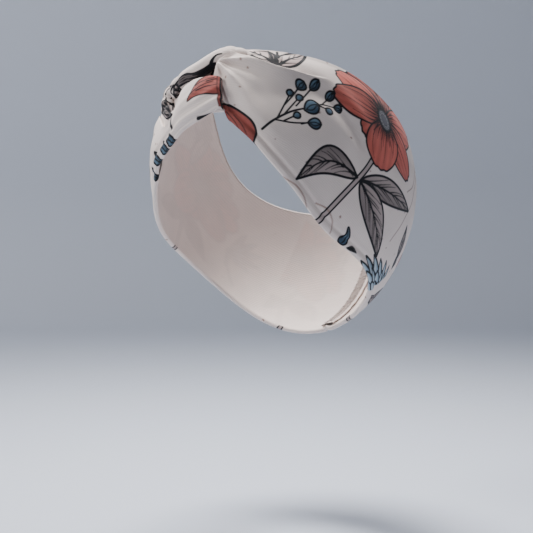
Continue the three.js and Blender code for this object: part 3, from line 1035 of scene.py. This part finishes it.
def roll_print(ink):
    """A dark leaf and its stalks, crushed in the gathers of the roll, with painted shade on the roll's
    underside in the crease.
    """
    def streaks(points, across, along):
        return (0.5 + 0.5 * np.sin(points[:, 1] * across + points[:, 0] * along))[:, None]

    def dark(points):
        lit = streaks(points, 3.4, 0.3) * smooth(points[:, 0], 38, 50)[:, None]
        return INK + (TAUPE * 0.35 - INK) * lit

    def crushed(points):
        return TAUPE * 0.6 + (TAUPE_LIGHT - TAUPE * 0.6) * streaks(points, 2.2, -0.9)

    # Painted shade and the dark leaf: the underside, down in the crease, is coloured near black, widening
    # into the leaf
    ink.region(curve_through([
        (28, -8), (30.2, -1.0), (32.5, 2.2), (37, 2.4), (42, 3.4), (46.5, 5.4), (52, 6.0), (56.4, 4.8),
        (55.5, 2.4), (50, 1.0), (46.5, -0.4), (44, -8),
    ], 5, True), dark, 1.0)
    for start, middle, end in (
        ((41, 1.0), (48, 3.4), (54.5, 4.2)), ((43, 2.6), (48.5, 4.6), (53, 5.2)),
        ((42.5, -0.6), (48, 1.6), (54, 3.2)), ((45, -2), (48, 0.4), (52, 1.6)),
    ):
        ink.stroke(curve_through([start, middle, end]), 0.25, 0.45, TAUPE)
    ink.stroke(curve_through([(26.5, 5.0), (29.3, 5.5), (31.6, 4.4), (33.6, 1.8)]), 0.9, 2.2)
    # Leaves and stalks that curl round the bend
    for outline in (
        [(56.5, 4.8), (59, 3), (60.6, 0.6), (61, -3), (58.5, -5.6), (56, -2), (55.2, 1.6)],
        [(74, 7.6), (76, 4.4), (81, 1.8), (86, 3), (89, 6), (86, 10.4), (80, 10.4)],
    ):
        ink.region(curve_through(outline, 5, True), crushed, 1.2)
    for path, width in (
        ([(58.4, 3.2), (57.0, 0.6), (57.4, -2.5), (60.6, -4.6)], 1.5),
        ([(56.0, 1.8), (55.2, -1.0), (57.6, -5.4)], 1.3), ([(60.2, 0.9), (59.2, -1.6), (62, -4.4)], 1.1),
        ([(57.8, 5.2), (61.5, 3.6), (60.6, 0.8)], 1.3), ([(59.4, 6.0), (63.5, 6.5), (65.7, 5.1)], 1.2),
        ([(65.7, 5.1), (70, 5.8), (75.3, 4.6), (81.2, 0.2)], 1.3), ([(67, 1.5), (72, 1.2), (77, -1.4)], 0.9),
        ([(63, 9.5), (68, 8.4), (74, 9.4)], 1.0), ([(79, 1.0), (82, 0.2), (87, 1.5), (93, 1.0)], 1.9),
    ):
        ink.stroke(curve_through(path), width, 0.7 * width)
    ink.leaf((76, 8.6), (91, 9.2), 3.4, 3.4, 0.8, 5, TAUPE, TAUPE_LIGHT)
    ink.stroke(curve_through([(76, 6), (81, 5), (87, 7)]), 1.4, 1.0)
    ink.stroke(curve_through([(75, 12.5), (80, 11.6), (86, 13)]), 1.2, 0.8)


# ---------------------------------------------------------------- lining, seam and thread

SHOW_THROUGH = 0.10                      # how much of the print shows on the inner face
INNER_STEP = 1.6                         # spacing of the inner face's vertices along the band
INNER_ROWS = 56
INNER_REACH = 16.0                       # how far it runs on past the middle of the knot
INNER_LEG = 20                           # its width there
ALLOWANCE_HALF_WIDTH = 6.0
ALLOWANCE_THICKNESS = 1.1
STITCHES = 34
STITCH_REACH = 3.6                       # how far each stitch runs to either side of the join
THREAD_RADIUS = 0.28


def inner_sheet(name, side):
    """The tube's unprinted face, against the head, running on into the back of the knot."""
    along = np.arange(-INNER_REACH, HALF_RING, INNER_STEP)
    along[-1] = HALF_RING - SEAM_GAP
    low, high = edges_up(side * along)
    if side > 0:
        low = low + raised_at_knot(along)
    share = np.linspace(0, 1, INNER_ROWS)[None, :]
    inset = EDGE_RADIUS * 0.8
    bottom, top = (low + inset)[:, None], (high - inset)[:, None]
    # Past the knot only one leg goes on: the left half's lower leg, or the right half's upper one
    narrow = 1 - smooth(along, 4, 34)[:, None]
    if side > 0:
        top = top + narrow * (bottom + INNER_LEG - top)
    else:
        bottom = bottom + narrow * (top - INNER_LEG - bottom)
    up = bottom + (top - bottom) * share
    column = along[:, None] + 0 * up
    pleats = np.cos(share * 30 + 0.02 * column) * np.exp(-np.maximum(column - 4, 0) / 26)
    lift = 0.5 + 0.45 * pleats + 0.9 * narrow
    if side < 0:
        lift = lift + 0.5 * narrow
    lift = lift - 0.35 * bump(HALF_RING - column, 0, 2.0)
    points = place(side * column, up, lift)
    flat_points = place(side * column, up, 0.0)
    cloth = flat_cloth(flat_points, side * SIDE_ALONG)
    # The print shows through the thin jersey a little
    beside = Print(cloth, 21)
    (print_left_side if side > 0 else print_right_side)(beside)
    behind = Print(flat_cloth(flat_points, side * BACK_ALONG), 22)
    print_back(behind)
    beside.take(behind, (column > BACK_FROM).ravel())
    printed = beside.color * smooth(beside.ink, -1, 1)[:, None]
    color = CREAM + SHOW_THROUGH * (printed - CREAM)
    return mesh_from_grids(name, [plain_grid(points, cloth, color, flip=side > 0)])


def seam_allowance():
    """The two raw edges of the back join, opened to each side and pressed against the head side."""
    rows, around, inset = 110, 40, 2.5
    low, high = edges_up(np.array([HALF_RING]))
    up = low + inset + (high - low - 2 * inset) * np.linspace(0, 1, rows)[:, None]
    turn = np.linspace(0, 2 * np.pi, around, endpoint=False)[None, :]

    def squared(value, power):
        return np.sign(value) * np.abs(value) ** power

    away = ALLOWANCE_HALF_WIDTH * squared(np.cos(turn), 0.35)
    depth = ALLOWANCE_THICKNESS / 2 * squared(np.sin(turn), 0.6)
    # Its free edges ripple, and the join draws a groove down its middle
    ripple = 0.15 * np.sin(up * 0.9) * smooth(np.abs(away), 3, 6)
    groove = 0.45 * np.exp(-(away / 0.7) ** 2) * np.sign(np.sin(turn))
    lift = -0.75 + depth + ripple + groove
    points = place(HALF_RING + away + 0.3 * np.sin(up * 0.7), up, lift)
    cloth = np.stack([away + 0 * up, up + 0 * away], -1).reshape(-1, 2)
    return mesh_from_grids("back_seam_allowance_strip", [plain_grid(points, cloth, CREAM * 0.93)], True)


def seam_thread():
    """An overlock stitch: one thread zigzagging along the allowance."""
    inset, around = 3.5, 8
    low, high = (edge[0] for edge in edges_up(np.array([HALF_RING])))
    run = np.linspace(0, STITCHES, STITCHES * 10)
    up = low + inset + (high - low - 2 * inset) * run / STITCHES
    sweep = STITCH_REACH * np.clip(1.25 * np.sin(run * 2 * np.pi), -1, 1)
    path = np.stack([HALF_RING + sweep, up, -1.95 - 0.12 * np.cos(run * 4 * np.pi)], -1)
    side, out = frames_along(path)
    turn = np.linspace(0, 2 * np.pi, around, endpoint=False)[None, :]
    ring = np.cos(turn)[..., None] * side + np.sin(turn)[..., None] * out
    local = path[:, None] + THREAD_RADIUS * ring
    points = place(local[..., 0], local[..., 1], local[..., 2])
    cloth = np.stack([run[:, None] * 3 + 0 * turn, turn + 0 * run[:, None]], -1).reshape(-1, 2)
    return mesh_from_grids("back_seam_stitches", [plain_grid(points, cloth, CREAM * 1.05)], True)


# ---------------------------------------------------------------- materials

class Nodes:
    """A short way to build a material's node tree."""

    def __init__(self, name):
        self.material = bpy.data.materials.new(name)
        self.material.use_nodes = True
        self.tree = self.material.node_tree
        self.shader = self.tree.nodes["Principled BSDF"]

    def add(self, kind, values=None, **settings):
        node = self.tree.nodes.new(kind)
        for key, value in settings.items():
            setattr(node, key, value)
        for key, value in (values or {}).items():
            if isinstance(value, bpy.types.NodeSocket):
                self.tree.links.new(value, node.inputs[key])
            else:
                node.inputs[key].default_value = value
        return node

    def link(self, output, node_input):
        self.tree.links.new(output, node_input)

    def math(self, operation, first, second):
        return self.add("ShaderNodeMath", {0: first, 1: second}, operation=operation).outputs[0]


def jersey(name, printed, rib, depth):
    """Fine weft-knit jersey: fuzz, a soft sheen, and columns of loops rib mm apart in relief."""
    nodes = Nodes(name)
    cloth = nodes.add("ShaderNodeAttribute", attribute_name="cloth").outputs["Vector"]
    color = nodes.add("ShaderNodeAttribute", attribute_name="print_and_painted_shade").outputs["Color"]
    ink = nodes.add("ShaderNodeAttribute", attribute_name="ink").outputs["Fac"]
    bend = nodes.add("ShaderNodeTexNoise", {"Vector": cloth, "Scale": 0.12, "Detail": 2.0})
    shift = nodes.add("ShaderNodeVectorMath", {0: bend.outputs["Color"], "Scale": 2.5}, operation="SCALE")
    yarn = nodes.add("ShaderNodeVectorMath", {0: cloth, 1: shift.outputs[0]}, operation="ADD").outputs[0]
    split = nodes.add("ShaderNodeSeparateXYZ", {0: yarn})
    # Each column of loops is a row of Vs: the courses slant one way and then the other
    course_length, slant_share, column_share, loop_shade = 0.8 * rib, 0.32, 0.6, 0.045
    column = nodes.math("MULTIPLY", split.outputs["Y"], 2 * math.pi / rib)
    slant = nodes.math("MULTIPLY", nodes.math("SINE", column, 0), slant_share)
    course = nodes.math("ADD", nodes.math("MULTIPLY", split.outputs["X"], 2 * math.pi / course_length),
                        nodes.math("MULTIPLY", slant, 2 * math.pi))
    loops = nodes.math("ADD", nodes.math("MULTIPLY", nodes.math("COSINE", column, 0), column_share),
                       nodes.math("MULTIPLY", nodes.math("SINE", course, 0), 1 - column_share))
    fuzz = nodes.add("ShaderNodeTexNoise", {"Vector": cloth, "Scale": 3.2, "Detail": 5.0, "Roughness": 0.7})
    patch = nodes.add("ShaderNodeTexNoise", {"Vector": cloth, "Scale": 0.06, "Detail": 3.0})
    height = nodes.math("ADD", nodes.math("MULTIPLY", loops, 0.5), fuzz.outputs["Fac"])
    uneven = nodes.add("ShaderNodeMapRange", {"Value": patch.outputs["Fac"], "From Min": 0.3,
                                              "From Max": 0.7, "To Min": 0.955, "To Max": 1.02})
    # Painted shade: the colour darkens in the hollows between the loops; broad patches vary the tone at
    # random
    loop_shade_and_patches = nodes.math("ADD", nodes.math("MULTIPLY", loops, loop_shade), uneven.outputs[0])
    base = color
    if printed:
        # The ink's edge follows the fuzz of the yarn
        stray = nodes.math("MULTIPLY", nodes.math("SUBTRACT", fuzz.outputs["Fac"], 0.5), 0.22)
        ragged = nodes.math("ADD", ink, stray)
        cover = nodes.add("ShaderNodeMapRange", {"Value": ragged, "From Min": -0.22, "From Max": 0.3,
                                                 "To Min": 1.0, "To Max": 0.0})
        mix = nodes.add("ShaderNodeMix", {0: cover.outputs[0]}, data_type="RGBA")
        nodes.link(color, mix.inputs[6])
        mix.inputs[7].default_value = (*INK, 1.0)
        base = mix.outputs[2]
    tone = nodes.add("ShaderNodeMix", {0: 1.0}, data_type="RGBA", blend_type="MULTIPLY")
    nodes.link(base, tone.inputs[6])
    grey = nodes.add("ShaderNodeCombineColor", {0: loop_shade_and_patches, 1: loop_shade_and_patches, 2: loop_shade_and_patches})
    nodes.link(grey.outputs[0], tone.inputs[7])
    nodes.link(tone.outputs[2], nodes.shader.inputs["Base Color"])
    rough = nodes.add("ShaderNodeMapRange", {"Value": fuzz.outputs["Fac"], "To Min": 0.82, "To Max": 0.96})
    nodes.link(rough.outputs[0], nodes.shader.inputs["Roughness"])
    bump_node = nodes.add("ShaderNodeBump", {"Height": height, "Strength": depth, "Distance": 0.00012})
    nodes.link(bump_node.outputs[0], nodes.shader.inputs["Normal"])
    nodes.shader.inputs["Sheen Weight"].default_value = 0.12
    nodes.shader.inputs["Sheen Roughness"].default_value = 0.55
    nodes.shader.inputs["Specular IOR Level"].default_value = 0.18
    return nodes.material


def sewing_thread():
    """Cream thread, its strands twisted."""
    nodes = Nodes("sewing_thread")
    cloth = nodes.add("ShaderNodeAttribute", attribute_name="cloth").outputs["Vector"]
    twist = nodes.add("ShaderNodeTexWave", {"Vector": cloth, "Scale": 1.6, "Distortion": 0.6},
                      bands_direction="DIAGONAL")
    # Painted shade: the colour runs from darker in the grooves between the strands to lighter on their
    # crests, along the twist that also gives the relief
    ramp = nodes.add("ShaderNodeValToRGB", {"Fac": twist.outputs["Fac"]})
    ramp.color_ramp.elements[0].color = (*CREAM * 0.82, 1.0)
    ramp.color_ramp.elements[1].color = (*CREAM * 1.08, 1.0)
    nodes.link(ramp.outputs[0], nodes.shader.inputs["Base Color"])
    bump_node = nodes.add("ShaderNodeBump", {"Height": twist.outputs["Fac"], "Distance": 0.00008})
    nodes.link(bump_node.outputs[0], nodes.shader.inputs["Normal"])
    nodes.shader.inputs["Roughness"].default_value = 0.5
    return nodes.material


# ---------------------------------------------------------------- studio

def studio():
    """A pale floor that curves up into a plain wall, and broad soft lights."""
    half_width, floor_height = 3.0, -0.215
    wall_distance, cove, wall_top = 0.80, 0.18, 2.4
    floor_color, wall_color = srgb(194, 200, 213), srgb(190, 196, 208)
    view, steps = math.radians(32.2), 17
    away = np.array([-math.sin(view), math.cos(view)])
    beside = np.array([math.cos(view), math.sin(view)])
    turn = np.linspace(0, math.pi / 2, steps)
    profile = [(-half_width, floor_height)]
    profile += [(wall_distance + cove * math.sin(a), floor_height + cove * (1 - math.cos(a))) for a in turn]
    profile += [(wall_distance + cove, wall_top)]
    verts = [(*(away * run + beside * side), height) for run, height in profile
             for side in (-half_width, half_width)]
    faces = [(2 * k, 2 * k + 1, 2 * k + 3, 2 * k + 2) for k in range(len(profile) - 1)]
    mesh = bpy.data.meshes.new("studio_sweep")
    mesh.from_pydata(verts, [], faces)
    mesh.polygons.foreach_set("use_smooth", np.ones(len(faces), bool))
    sweep = bpy.data.objects.new("studio_sweep", mesh)
    bpy.context.scene.collection.objects.link(sweep)
    nodes = Nodes("studio_paper")
    place_of = nodes.add("ShaderNodeNewGeometry").outputs["Position"]
    height = nodes.add("ShaderNodeSeparateXYZ", {0: place_of}).outputs["Z"]
    grain = nodes.add("ShaderNodeTexNoise", {"Vector": place_of, "Scale": 6.0, "Detail": 2.0}).outputs["Fac"]
    share = nodes.add("ShaderNodeMapRange", {"Value": height, "From Min": floor_height,
                                             "From Max": floor_height + cove}).outputs[0]
    share = nodes.math("ADD", share, nodes.math("MULTIPLY", grain, 0.06))
    tone = nodes.add("ShaderNodeValToRGB", {"Fac": share})
    tone.color_ramp.elements[0].color = (*floor_color, 1.0)
    tone.color_ramp.elements[1].color = (*wall_color, 1.0)
    nodes.link(tone.outputs[0], nodes.shader.inputs["Base Color"])
    nodes.shader.inputs["Roughness"].default_value = 0.9
    sweep.data.materials.append(nodes.material)

    def light(name, size, power, position, spread, color):
        """A round soft light aimed at the frame's middle, its size in metres and its power in watts."""
        lamp = bpy.data.lights.new(name, "AREA")
        lamp.shape, lamp.size, lamp.energy, lamp.color = "DISK", size, power, color
        lamp.spread = math.radians(spread)
        holder = bpy.data.objects.new(name, lamp)
        bpy.context.scene.collection.objects.link(holder)
        holder.location = position
        aim = -holder.location
        holder.rotation_euler = aim.to_track_quat("-Z", "Y").to_euler()

    def from_camera(left, toward, height):
        """A place left of the view and toward the camera, in metres."""
        spot = -beside * left - away * toward
        return (*spot, height)

    light("key", 0.7, 22, from_camera(1.35, 0.15, 0.85), 180, (1.0, 0.99, 0.98))
    light("top", 0.6, 5.5, from_camera(0.1, -0.45, 1.2), 60, (1.0, 0.99, 0.985))
    light("fill", 1.6, 1.2, from_camera(-0.9, 1.2, 0.35), 180, (0.98, 0.985, 1.0))
    world = bpy.data.worlds.new("studio_air")
    world.use_nodes = True
    world.node_tree.nodes["Background"].inputs["Color"].default_value = (*srgb(206, 211, 220), 1.0)
    world.node_tree.nodes["Background"].inputs["Strength"].default_value = 0.34
    bpy.context.scene.world = world


def camera():
    """A long lens on the photo's side of the band, a little above it and aimed below its middle."""
    azimuth, elevation, distance = math.radians(32.16), math.radians(6.0), 0.9
    target = Vector((-0.0117, -0.005, -0.0529))
    back = Vector((
        math.sin(azimuth) * math.cos(elevation),
        -math.cos(azimuth) * math.cos(elevation),
        math.sin(elevation),
    ))
    data = bpy.data.cameras.new("camera")
    data.sensor_width, data.lens, data.clip_start = 36.0, 94.56, 0.01
    holder = bpy.data.objects.new("camera", data)
    bpy.context.scene.collection.objects.link(holder)
    holder.location = target + back * distance
    holder.rotation_euler = back.to_track_quat("Z", "Y").to_euler()
    bpy.context.scene.camera = holder


# ---------------------------------------------------------------- the headband, put together

camera()
studio()

printed_cloth = jersey("printed_jersey", printed=True, rib=1.1, depth=0.55)
plain_cloth = jersey("inner_jersey", printed=False, rib=1.8, depth=0.7)

PIECES = (
    (left_outer, printed_cloth, "printed_jersey",
     ("left_outer_panel", "left_upper_edge_fold", "left_lower_edge_seam")),
    (right_outer, printed_cloth, "printed_jersey",
     ("right_outer_panel", "right_upper_edge_fold", "right_lower_edge_seam", "right_knot_loop")),
    (knot_roll, printed_cloth, "printed_jersey", ("left_knot_loop",)),
    (lambda: inner_sheet("left_inner_jersey", 1), plain_cloth, "inner_jersey", ("left_inner_panel",)),
    (lambda: inner_sheet("right_inner_jersey", -1), plain_cloth, "inner_jersey", ("right_inner_panel",)),
    (seam_allowance, plain_cloth, "inner_jersey", ("back_seam_allowance",)),
    (seam_thread, sewing_thread(), "sewing_thread", ("back_seam_thread",)),
)
for make, material, slot, nodes_replaced in PIECES:
    piece = make()
    piece.data.materials.append(material)
    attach(piece, "root")
    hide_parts(*nodes_replaced)
